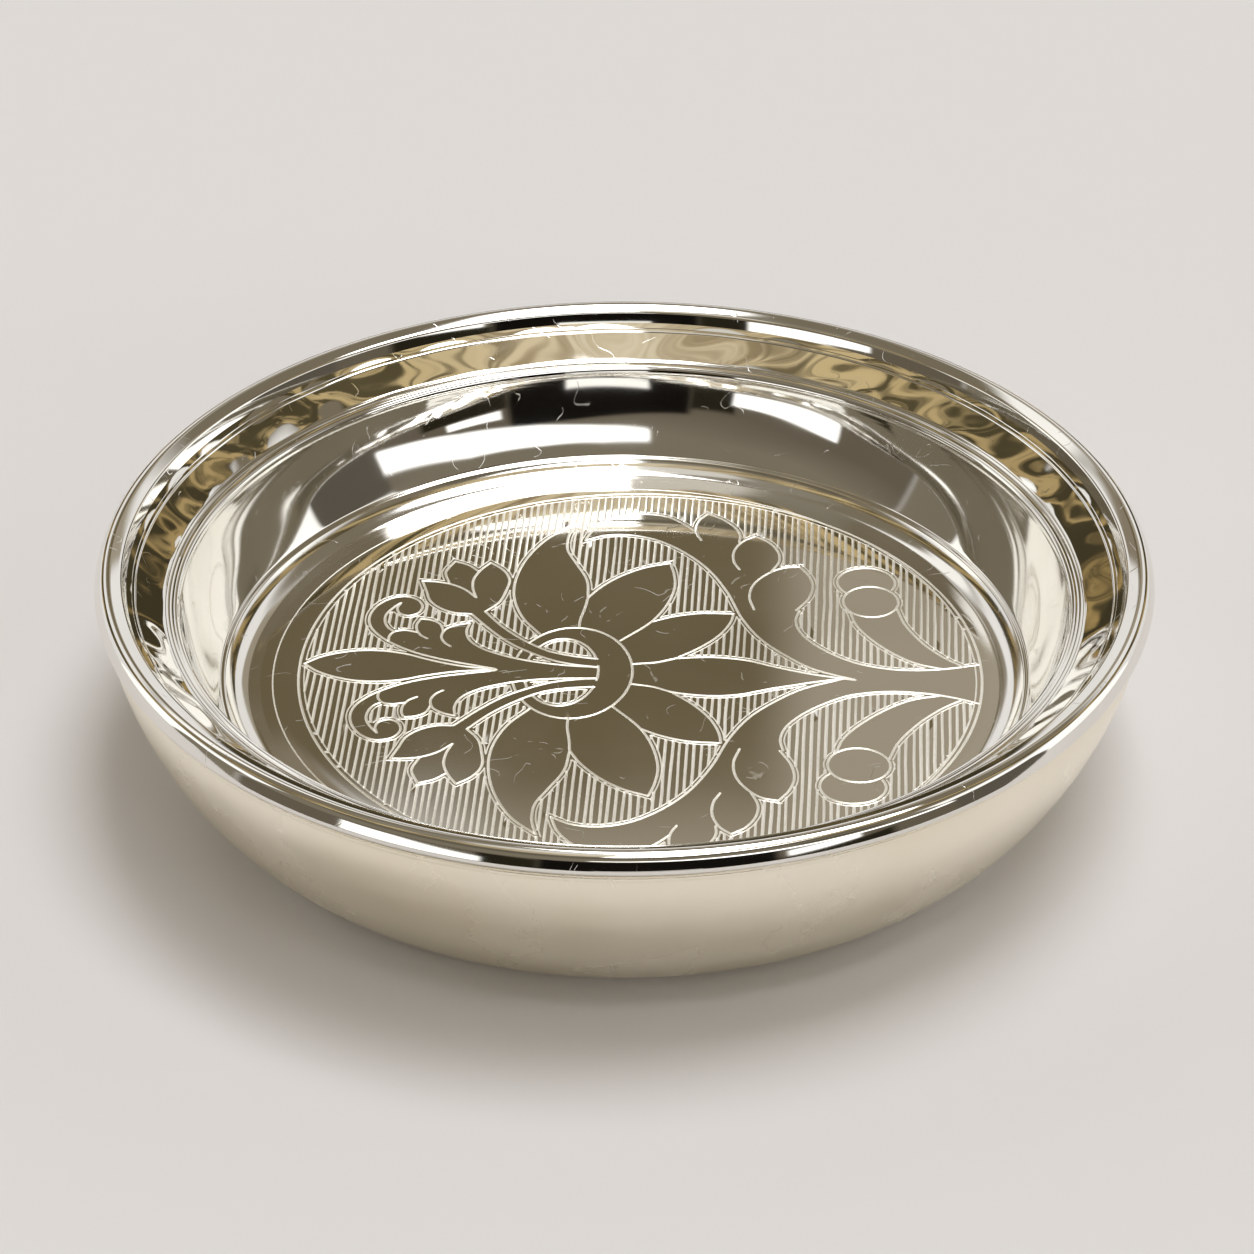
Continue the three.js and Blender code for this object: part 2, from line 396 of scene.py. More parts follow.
# The engraving: lines listed in millimetres, for the half above its mirror line
ornament = {
    "shift": (2.3, -0.6),        # the engraver's centre from the axis of the dish
    "mirrorLine": -0.35,
    "borderCentre": (0, 0.73), "borderRadius": 49.93, "borderGap": 0.8,
    "outline": (0.21, 0.11),     # half width and depth of a groove
    "fine": (0.12, 0.06),
    "hatch": (0.23, 0.1),
    "hatchWidths": (0.85, 1.1),  # least and greatest share of that half width
    "fineGap": 0.55,             # from an outline to the fine line beside it
    "fineEnds": 1.4,             # how much longer that is at each end, in steps of the line
    "fineSlack": 0.06,           # how much nearer it may come to an outline
    "pitch": 1.04,               # between hatch lines
    "hatchEnds": (0.7, 0.3),     # from the sides of the border to the first line and past the last
    "hatchStep": 3.2,            # between the points of a hatch line
    "jitter": 0.03,              # how far it stands off its place
    "wander": 0.045,             # how far it strays on its way
    "lowerScroll": (1.6, 27, 14),   # how far left the lower right scroll stands, around which x, how wide
    "lowerStem": (0.9, 7, 24, 8),   # how much higher its stem is, near which y, from which x, over how much
    "step": 0.5,                 # between the points of a line
    "reach": 2,                  # distances are measured up to this
    "leastDepth": 0.002,         # what is shallower is left flat
    "cutDepth": 0.004,           # a face that goes deeper has the look of a cut
    "seed": 11,
}
strokes = {
    "lens": [(-49.3, -.35), (-47, 1.65), (-43, 3.35), (-39, 3.8), (-35, 3.2), (-31, 1.7), (-26.5, .4),
             (-21, -.3)],
    "curlOuter": [(-21.3, -.1), (-25, .8), (-29, 1.9), (-33, 3.4), (-36.4, 5.4), (-39, 7.7), (-40.7, 10.3),
                  (-41.1, 13), (-40.2, 16.1), (-38.3, 18.2), (-36.3, 18.8), (-34.4, 18), (-33.5, 16.2),
                  (-33.9, 14.4), (-35.3, 13.5), (-36.8, 14.2), (-37.2, 15.5), (-36.8, 17)],
    "curlInner": [(-36.8, 17), (-37.8, 15.6), (-38.7, 13.6), (-38.6, 11.4), (-37.9, 9.9), (-36.9, 9.1)],
    "lobeOne": [(-37.6, 6.4), (-37.6, 7.9), (-36.9, 9.1), (-35.4, 9.5), (-33.5, 9)],
    "lobeTwoSide": [(-33.4, 12.75), (-33.85, 11.3), (-33.7, 9.6), (-33, 8.3), (-31.9, 7.4)],
    "lobeTwoTop": [(-33.4, 12.75), (-31.8, 12.5), (-30.4, 11.5), (-29.85, 10)],
    "lobeThree": [(-26, 12), (-28, 11.3), (-29.5, 10), (-29.9, 8), (-29.3, 6.5), (-28.3, 5.5)],
    "leafEdge": [(-26, 12), (-26.3, 9.7), (-25.6, 7.3), (-23.7, 5.3), (-21, 3.8), (-17, 2.4), (-12, 1.5),
                 (-6.2, 1.1)],
    "budTop": [(-34.2, 23.3), (-32, 23.2), (-29.7, 22.6), (-27.6, 21.3), (-25.7, 19.1)],
    "budSide": [(-34.2, 23.3), (-33.3, 20.4), (-32.5, 17.8), (-30.7, 15.8), (-28.5, 14.7), (-26, 14.5)],
    "budRight": [(-24, 15.3), (-22.2, 17.8), (-21.4, 21), (-21.1, 24.5), (-22.3, 27.2), (-24.3, 29.1)],
    "budInner": [(-24.3, 29.1), (-25.6, 27), (-26.5, 24.3), (-26.4, 21.6), (-25.7, 19.1)],
    "budMiddleLeft": [(-30.1, 22.9), (-30.9, 26), (-29.75, 29.2)],
    "budMiddleRight": [(-29.75, 29.2), (-27.6, 28.2), (-26, 26.6)],
    "stemTop": [(-24, 15.3), (-21, 11.2), (-17.5, 7.7), (-14, 5.2), (-10.5, 4), (-6.4, 3.35)],
    "stemLow": [(-26, 14.5), (-22.6, 10.1), (-19.5, 6.8), (-16.5, 4.6), (-13, 2.65), (-9.9, 1.7),
                (-6.2, 1.15)],
    "petalOneLeft": [(-15.4, 9.6), (-18.3, 14), (-20, 19.5), (-20.1, 25), (-18.8, 31), (-16, 36.7),
                     (-12.2, 40.6)],
    "petalOneRight": [(-12.2, 40.6), (-13, 37.3), (-12.9, 33.5), (-11.4, 29.8), (-9.4, 25), (-8.9, 20)],
    "between": [(-8.9, 20), (-9.2, 17), (-9.65, 14), (-9.7, 11.6)],
    "petalTwoLeft": [(-8.9, 20), (-7.2, 23), (-4.2, 26.5), (-.6, 29.1), (2.95, 30.5)],
    "petalTwoRight": [(2.95, 30.5), (3.7, 27.3), (3.95, 23.5), (3, 18.6), (.9, 13.8), (-3.4, 8.4)],
    "petalThreeTop": [(.9, 13.8), (3.9, 15.4), (8, 16.6), (13.1, 16.8)],
    "petalThreeLow": [(13.1, 16.8), (12.7, 14.3), (11.2, 10.8), (8.5, 7.3), (5.1, 4.2)],
    "spear": [(-1.1, 2.3), (2.2, 2.9), (5.1, 4.1), (8.5, 4.65), (11.5, 4.75), (15.5, 4.2), (20, 2.6),
              (25, 1.1), (31.5, -.15)],
    "scrollInner": [(-10.4, 36.3), (-7.5, 37.9), (-4, 38.3), (0, 37.3), (4, 34.6), (8.4, 29.6), (11.8, 23),
                    (14.4, 15.5), (17.3, 10.1), (21.4, 5.6), (25.2, 2.5), (31.5, -.1)],
    "hook": [(-10.4, 36.3), (-9.3, 39.6), (-7.2, 42.4), (-4.5, 44), (-1, 44.6), (2.2, 43.8), (4.8, 41.7),
             (6.5, 39.7)],
    "tuftOneSide": [(8.1, 45.2), (6.9, 43.3), (6.45, 41), (6.7, 39), (7.4, 37.4)],
    "tuftOneRight": [(8.1, 45.2), (10.2, 43.9), (12.3, 41.6), (13.3, 39.2), (13.2, 37.2)],
    "tuftTwoSide": [(15.65, 39), (13.8, 37.4), (12.55, 34.6), (12.6, 31.5), (13.55, 29.2)],
    "tuftTwoRight": [(15.65, 39), (17.8, 37.3), (19.2, 34.8), (19.5, 32), (18.3, 28.8)],
    "tuftThreeSide": [(22.6, 30.6), (20, 30), (17.6, 28), (15.8, 25.1), (15.3, 21.5), (16.1, 18.1)],
    "tuftThreeRight": [(22.6, 30.6), (24.1, 28), (24.75, 25), (24.2, 21.7), (22.4, 18.2)],
    "scrollOuter": [(22.9, 18.2), (22.4, 15.5), (23, 12.6), (24.8, 9.7), (28, 6.6), (32, 4.2), (37, 3),
                    (42, 3.1), (46, 3.9), (49.7, 5.1)],
    "podStemLeft": [(30.5, 18.1), (31.4, 14.7), (33.6, 11), (37.25, 7), (40.5, 4.7), (44.3, 3.5)],
    "podStemRight": [(37.5, 19.3), (38.6, 15.3), (41.5, 10), (44.5, 6.5), (47.3, 4.3)],
}
ovals = {       # centre and half widths
    "ringOuter": ((-9.9, -.45), (8.8, 12.05)), "ringInner": ((-11.5, -.4), (5.4, 8.9)),
    "podFront": ((33.5, 21.25), (4.13, 4.25)), "podBack": ((32.75, 26.6), (4.35, 4.15)),
}
# Closed areas that stay bright: strokes, strokes backwards with a minus, and single points
areas = {
    "lens": ["lens"],
    "curl": ["curlOuter", "curlInner"],
    "lobeOne": ["lobeOne"],
    "lobeTwo": ["-lobeTwoSide", "lobeTwoTop"],
    "lobeThree": ["-lobeThree", "leafEdge", (-6.2, -.35), (-21, -.3)],
    "leaf": [(-33.5, 9), (-31.9, 7.4), (-29.85, 10), (-28.3, 5.5), (-21, -.3), (-29, 1.9), (-36.4, 5.4),
             (-37.6, 6.4)],
    "budLeft": ["budTop", (-24, 15.3), "-budSide"],
    "budRight": ["budInner", (-26, 14.5), "budRight"],
    "budMiddle": ["budMiddleLeft", "budMiddleRight", (-26.2, 21.5), (-28, 21.6)],
    "stem": ["stemTop", "-stemLow"],
    "petalOne": ["petalOneLeft", "petalOneRight", "between"],
    "petalTwo": ["-between", "petalTwoLeft", "petalTwoRight"],
    "petalThree": ["petalThreeTop", "petalThreeLow", (-1.1, 2.3), (-3.4, 8.4)],
    "spear": ["spear", (31.5, -.35), (-1.1, -.35)],
    "scroll": ["-scrollInner", "hook", (7.4, 37.4), (13.2, 37.2), (13.55, 29.2), (18.3, 28.8), (16.1, 18.1),
               (22.4, 18.2), "scrollOuter", (49.9, -.35), (31.5, -.35)],
    "tuftOne": ["-tuftOneSide", "tuftOneRight"],
    "tuftTwo": ["-tuftTwoSide", "tuftTwoRight"],
    "tuftThree": ["-tuftThreeSide", "tuftThreeRight"],
    "podStem": ["podStemLeft", (47.3, 4.3), "-podStemRight"],
    "podFront": ["podFront"], "podBack": ["podBack"],
}
# Lines that are hidden where these areas lie over them
behind = {"podBack": ["podFront"], "ringOuter": ["stem", "lobeThree"], "ringInner": ["stem", "lobeThree"]}


def below(line):
    # the mirrored half: y turns over at the mirror line; the engraver set the right scroll a little to the
    # left there, by shift exp(-((x - middle) / width)^2), and its stem a little higher, by
    # lift exp(-(y / height)^2) times a straight rise from 0 to 1 as x grows from start by fade
    x, y = line[:, 0], line[:, 1]
    shift, middle, width = ornament["lowerScroll"]
    lift, height, start, fade = ornament["lowerStem"]
    left = shift * np.exp(-((x - middle) / width) ** 2)
    up = lift * np.exp(-(y / height) ** 2) * np.clip((x - start) / fade, 0, 1)
    return np.column_stack([x - left, 2 * ornament["mirrorLine"] - y + up])


def inside(points, loop):
    # a point is inside if a ray to its right crosses the loop an odd number of times
    found = np.zeros(len(points), bool)
    near = np.all((points > loop.min(0)) & (points < loop.max(0)), axis=1)
    if near.any():
        x, y = points[near][:, :1], points[near][:, 1:]
        a, b = loop, np.roll(loop, -1, axis=0)
        spans = (a[:, 1] > y) != (b[:, 1] > y)
        height = np.where(a[:, 1] == b[:, 1], 1, b[:, 1] - a[:, 1])
        crossing = a[:, 0] + (y - a[:, 1]) * (b[:, 0] - a[:, 0]) / height
        found[near] = (spans & (crossing > x)).sum(1) % 2 == 1
    return found


def insideAny(points, loops):
    # a point is inside one loop or more
    return np.any([inside(points, loop) for loop in loops], axis=0)


def distanceTo(points, line, reach):
    # least distance from each point to the line's segments, or reach where it is more
    least = np.full(len(points), float(reach))
    near = np.all((points > line.min(0) - reach) & (points < line.max(0) + reach), axis=1)
    if near.any():
        p = points[near][:, None, :]
        a, run = line[None, :-1], np.diff(line, axis=0)[None]
        t = np.clip(((p - a) * run).sum(-1) / (run ** 2).sum(-1), 0, 1)
        least[near] = np.minimum(reach, np.linalg.norm(p - a - t[..., None] * run, axis=-1).min(1))
    return least


def runsWhere(line, keep, least=2):
    # the stretches of the line whose points are all kept
    edges = np.flatnonzero(np.diff(np.concatenate([[0], keep.astype(int), [0]])))
    return [line[a:b] for a, b in zip(edges[::2], edges[1::2]) if b - a >= least]


def drawOrnament():
    # every outline and every closed area, both halves, in the engraver's frame
    step = ornament["step"]
    lines = {name: smoothLine(points, step) for name, points in strokes.items()}
    for name, ((x, y), (wide, high)) in ovals.items():
        turn = np.radians(np.linspace(0, 360, 101))
        lines[name] = evenly(np.column_stack([x + wide * np.cos(turn), y + high * np.sin(turn)]), step)

    def loopOf(items):
        parts = [np.array([item]) if isinstance(item, tuple)
                 else lines[item[1:]][::-1] if item[0] == "-" else lines[item] for item in items]
        return np.vstack(parts)

    loops = {name: loopOf(items) for name, items in areas.items()}
    covers = {name: [loops[n] for n in names] + [below(loops[n]) for n in names]
              for name, names in behind.items()}
    outlines = []
    for name, line in lines.items():
        halves = [line] if name.startswith("ring") else [line, below(line)]
        for half in halves:
            keep = ~insideAny(half, covers[name]) if name in covers else np.ones(len(half), bool)
            outlines += runsWhere(half, keep)
    closed = [half for loop in loops.values() for half in (loop, below(loop))]
    closed.append(np.vstack([lines["ringOuter"], lines["ringInner"]]))
    return outlines, closed


def hatchLines(outlines, closed, rng):
    # upright lines at one pitch, cut where they come to an outline, an area or the border
    gap, (cx, cy) = ornament["fineGap"], ornament["borderCentre"]
    radius, (first, last) = ornament["borderRadius"] - ornament["borderGap"], ornament["hatchEnds"]
    fineStep, leastRun = 0.1, 6         # millimetres, and steps in the shortest line that is kept
    corner, lastCorner = 30, 10         # steps between a line's corners, and least before its end
    knots = np.arange(-60, 60, 5)       # heights where a line's stray is drawn
    made = []
    for x in np.arange(cx - radius + first, cx + radius - last, ornament["pitch"]):
        half = np.sqrt(radius ** 2 - (x - cx) ** 2)
        y = np.arange(cy - half, cy + half, fineStep)
        line = np.column_stack([np.full(len(y), x + rng.normal(0, ornament["jitter"])), y])
        keep = ~insideAny(line, closed)
        for outline in outlines:
            keep &= distanceTo(line, outline, ornament["reach"]) > gap
        for run in runsWhere(line, keep, leastRun):
            run[:, 0] += np.interp(run[:, 1], knots, rng.normal(0, ornament["wander"], len(knots)))
            corners = run[[0, *range(corner, len(run) - lastCorner, corner), -1]]
            made.append(evenly(corners, ornament["hatchStep"]))
    return made


def fineLines(outlines, closed):
    # a line beside each outline on both sides, kept where it runs over hatched ground
    gap, ends, made = ornament["fineGap"], ornament["fineEnds"], []
    (cx, cy), radius = ornament["borderCentre"], ornament["borderRadius"] - ornament["borderGap"]
    ringSlack, leastRun = 0.05, 4       # in millimetres, and in steps of a line
    ring = arcPoints((cx, cy), radius, 0, 360, 500)
    for outline in outlines:
        if len(outline) < 3:
            continue
        first, last = outline[0] - outline[1], outline[-1] - outline[-2]
        longer = np.vstack([outline[0] + first * ends, outline, outline[-1] + last * ends])
        for side in (gap, -gap):
            made.append(moved(longer, side))
    made.append(ring)
    kept = []
    for line in made:
        line = evenly(line, ornament["step"])
        keep = ~insideAny(line, closed)
        keep &= np.hypot(line[:, 0] - cx, line[:, 1] - cy) < radius + ringSlack
        for outline in outlines:
            keep &= distanceTo(line, outline, ornament["reach"]) > gap - ornament["fineSlack"]
        kept += runsWhere(line, keep, leastRun)
    return kept


def grooveEdges(line, halfWidth, closed=False):
    # the two edges of a groove, pointed at its ends, and its middle line
    if closed:
        return [(moved(line, halfWidth), True), (moved(line, -halfWidth), True), (line, True)]
    start = line[0] + (line[0] - line[1]) / np.linalg.norm(line[0] - line[1]) * halfWidth
    end = line[-1] + (line[-1] - line[-2]) / np.linalg.norm(line[-1] - line[-2]) * halfWidth
    rim = np.vstack([start, moved(line, halfWidth), end, moved(line, -halfWidth)[::-1]])
    return [(rim, True), (np.vstack([start, line, end]), False)]


def engravedFloor():
    # a flat triangulated disc whose height is minus the depth of the deepest groove at each point
    rng = np.random.default_rng(ornament["seed"])
    outlines, closed = drawOrnament()
    hatch = hatchLines(outlines, closed, rng)
    fine = fineLines(outlines, closed)
    shift = np.array(ornament["shift"])
    grooves = [(line + shift, *ornament["outline"], False) for line in outlines]
    grooves += [(line + shift, *ornament["fine"], False) for line in fine]
    halfWidth, depth = ornament["hatch"]
    grooves += [(line + shift, halfWidth * rng.uniform(*ornament["hatchWidths"]), depth, False)
                for line in hatch]
    border = arcPoints(shift + ornament["borderCentre"], ornament["borderRadius"], 0, 360, 600)[:-1]
    scribed = arcPoints((0, 0), dish["scribedRadius"], 0, 360, dish["sides"])[:-1]
    grooves += [(border, *ornament["outline"], True), (scribed, *ornament["fine"], True)]

    # the edge of the disc, and rings where the floor begins to fall, as far as just inside the scribed ring
    parts, edges, count = [], [], 0
    for radius in (dish["engravedRadius"], *np.linspace(dish["fallRadius"], dish["scribedRadius"] - 0.2, 5)):
        parts.append(arcPoints((0, 0), radius, 0, 360, dish["sides"])[:-1])
        ids = count + np.arange(dish["sides"])
        edges.append(np.column_stack([ids, np.roll(ids, -1)]))
        count += dish["sides"]
    for line, halfWidth, depth, loop in grooves:
        for edge, isLoop in grooveEdges(line, halfWidth, loop):
            ids = count + np.arange(len(edge))
            edges.append(np.column_stack([ids, np.roll(ids, -1)])[:len(edge) if isLoop else len(edge) - 1])
            parts.append(edge)
            count += len(edge)
    flat = np.vstack(parts)
    print("engraving: %d lines, %d points" % (len(grooves), len(flat)))
    merge, leastArea = 1e-4, 1e-9       # millimetres, and square millimetres
    edges = np.vstack(edges).tolist()
    found, _, triangles, origin, _, _ = delaunay_2d_cdt(flat.tolist(), edges, [], 0, merge)
    found = np.array([tuple(p) for p in found])
    triangles = np.array(triangles)
    at = {source: k for k, sources in enumerate(origin) for source in sources}
    rimAt = np.array([at[i] for i in range(dish["sides"])])

    depth = np.zeros(len(found))
    for line, halfWidth, deep, loop in grooves:
        whole = np.vstack([line, line[:1]]) if loop else line
        depth = np.maximum(depth, deep * (1 - distanceTo(found, whole, halfWidth) / halfWidth))
    depth[depth < ornament["leastDepth"]] = 0
    height = floorHeight - floorFall(np.hypot(found[:, 0], found[:, 1])) - depth
    a, b, c = (found[triangles[:, k]] for k in range(3))
    area = np.cross(b - a, c - a)
    triangles = np.where(area[:, None] < 0, triangles[:, ::-1], triangles)
    triangles = triangles[np.abs(area) > leastArea]
    grooved = depth[triangles].max(1) > ornament["cutDepth"]
    return np.column_stack([found, height]), triangles, grooved, rimAt


floorPoints, floorFaces, floorGrooved, floorRim = engravedFloor()
print("floor: %d triangles" % len(floorFaces))


def makeDish():
    # one closed sheet: hidden face outwards, round the hem, visible face inwards, then the floor
    back = dishBack()
    visible = np.vstack([stepRelief(dishFace()), rimFace()])[::-1][:-1]
    profile = np.vstack([back, visible])
    run = np.append(0, np.cumsum(np.linalg.norm(np.diff(profile, axis=0), axis=1)))
    angle = np.arange(dish["sides"]) * 2 * np.pi / dish["sides"]
    # the hand of the spinner shows on the flare and the bowl, and fades out at the floor and the crease
    radius, (start, fade), front = profile[:, 0], dish["handFrom"], dish["frontHand"]
    shown = np.concatenate([np.zeros(len(back)), np.ones(len(visible))])
    shown *= np.clip((radius - start) / fade, 0, 1) * np.clip((creaseAt[0] - radius) / dish["handEnd"], 0, 1)
    along = np.gradient(profile, axis=0)
    along /= np.linalg.norm(along, axis=1)[:, None] + 1e-9
    normal = np.column_stack([along[:, 1], -along[:, 0]])
    # on the flare it swells to the middle, as (4 t (1 - t))^0.8, and is less at the front and the back
    across = np.clip((radius - dish["flareFrom"]) / (creaseAt[0] - dish["flareFrom"]), 0, 1)
    onFlare = shown * (4 * across * (1 - across)) ** 0.8
    wave = handWork(angle, run, dish["flareHand"]) * onFlare[:, None]
    wave *= front + (1 - front) * np.abs(np.cos(angle))
    wave += handWork(angle, run, dish["bowlHand"]) * (shown * (across == 0))[:, None]
    rows = spun(profile, dish["sides"], wave[..., None] * normal[:, None, :])
    first = len(floorPoints)
    middle = first + rows.shape[0] * rows.shape[1]
    numbers = np.vstack([np.arange(first, middle).reshape(rows.shape[:2]), floorRim[None]])
    centre = np.array([[0, 0, floorHeight - dish["sheet"]]])
    points = np.vstack([floorPoints, rows.reshape(-1, 3), centre])
    inmost = numbers[0]
    fan = np.column_stack([np.full(len(inmost), middle), np.roll(inmost, -1), inmost])
    quads = quadsBetween(numbers)
    # 0 is mirror metal, 1 is cut and 2 is soft
    softRows = (radius < dish["softInside"]) & (np.arange(len(profile)) > len(back))
    kinds = np.concatenate([floorGrooved, 2 * np.repeat(softRows, dish["sides"]), np.zeros(len(fan))])
    makePiece("dish_sheet", points, [floorFaces, quads, fan], [mirrorMetal, cutMetal, softMetal],
              ["inner_dish"], kinds)


makeDish()


# The casing, in millimetres
casing = {
    "baseRadius": 57, "fullness": 1.55, "ringWidth": 5, "pushUp": 0.8, "pushUpSlope": 2, "vent": 2,
    "underRing": 30,                    # radius of a ring of points on the underside
    "marks": [(29.02, 0.26, 0.16), (28.68, 0.12, -0.05), (28.0, 0.14, -0.05)],  # height, half width, lift
    "markFrom": 27.8,                   # above this the wall is fine enough for them
    "wallSteps": (0.35, 0.06),          # below and above that
    "hand": {"height": 0.004, "seed": 5, "counts": (3, 12), "drifts": (0.25, 0.7)},
    "handTo": 26, "handFade": 4,        # height where the spinner's marks end, and their fading at both ends
    "sides": 320, "slopeSteps": 6, "wallPoints": 90,
}


def casingOutside():
    # vent edge, pushed-up underside, standing ring, wall as a quarter of a superellipse, then the lip
    top = rimHeight - topOutside
    ringInside = casing["baseRadius"] - casing["ringWidth"]
    under = [(casing["vent"] / 2, casing["pushUp"]), (casing["underRing"], casing["pushUp"])]
    slope = bendPoints((ringInside - casing["pushUpSlope"], casing["pushUp"]),
                       (ringInside - casing["pushUpSlope"] / 2, casing["pushUp"] / 2),
                       (ringInside, 0.0), casing["slopeSteps"])
    a = np.linspace(np.pi / 2, 0, casing["wallPoints"])
    power = 2 / casing["fullness"]
    wall = np.column_stack([
        casing["baseRadius"] + (lipOutside - casing["baseRadius"]) * np.abs(np.cos(a)) ** power,
        top * (1 - np.sin(a) ** power),
    ])
    wall[0] = casing["baseRadius"], 0
    coarse, fine = casing["wallSteps"]
    lower, upper = wall[wall[:, 1] < casing["markFrom"]], wall[wall[:, 1] > casing["markFrom"]]
    wall = np.vstack([evenly(lower, coarse), evenly(upper, fine)])
    for height, width, lift in casing["marks"]:
        wall[:, 0] += lift * np.clip(1 - ((wall[:, 1] - height) / width) ** 2, 0, None) ** 2
    lipTop = rimHeight - np.sqrt(topInside ** 2 - max(lipOutside - dish["sheet"] - rimRadius, 0) ** 2)
    return np.vstack([under, slope, wall, [(lipOutside, lipTop)]])


def makeCasing():
    # the outer face and a coarser one moved in by the sheet, joined into one closed skin
    outside = casingOutside()
    inside = moved(outside, -dish["sheet"])[::5]
    inside[-1] = outside[-1] - (dish["sheet"], 0)
    inside[0] = outside[0] + (0, dish["sheet"])
    profile = np.vstack([outside, inside[::-1]])
    run = np.append(0, np.cumsum(np.linalg.norm(np.diff(profile, axis=0), axis=1)))
    angle = np.arange(casing["sides"]) * 2 * np.pi / casing["sides"]
    shown = np.concatenate([np.ones(len(outside)), np.zeros(len(inside))])
    height, fade = profile[:, 1], casing["handFade"]
    shown *= np.clip(height / fade, 0, 1) * np.clip((casing["handTo"] - height) / fade, 0, 1)
    wave = -np.abs(handWork(angle, run, casing["hand"])) * shown[:, None]
    rows = spun(profile, casing["sides"], np.stack([wave, 0 * wave], -1))
    numbers = np.arange(rows.shape[0] * rows.shape[1]).reshape(rows.shape[:2])
    quads = quadsBetween(np.vstack([numbers, numbers[:1]]))
    makePiece("casing_shell", rows.reshape(-1, 3), [quads], [satinMetal], ["outer_casing"])


makeCasing()

# The wire keeps its CAD solid and gets a drawn brass finish
for piece in bpy.context.scene.objects:
    if piece.name.startswith("rim_wire") and piece.type == "MESH":
        for place in piece.material_slots:
            place.material = wireMetal
print("pieces made")


# Stage, light and camera
stage = {"size": 12.0, "floor": (0.765, 0.752, 0.76), "rough": 0.9}     # the size in metres


def makeFloor():
    # a square sheet at the height of the base
    half = stage["size"] / 2
    mesh = bpy.data.meshes.new("floor")
    corners = [(-half, -half, 0), (half, -half, 0), (half, half, 0), (-half, half, 0)]
    mesh.from_pydata(corners, [], [(0, 1, 2, 3)])
    material = bpy.data.materials.new("paleFloor")
    material.use_nodes = True
    shader = material.node_tree.nodes["Principled BSDF"]
    shader.inputs["Base Color"].default_value = (*stage["floor"], 1)
    shader.inputs["Roughness"].default_value = stage["rough"]
    mesh.materials.append(material)
    ground = bpy.data.objects.new("floor", mesh)
    bpy.context.scene.collection.objects.link(ground)


makeFloor()

view = {
    "elevation": 32.84, "turn": 3.27,              # degrees
    "place": (0.36, -528.3, 360.2),                # millimetres, before the turn
    "lens": 124.1, "sensor": 36,                   # millimetres
    "clip": (0.01, 20),                            # metres
}
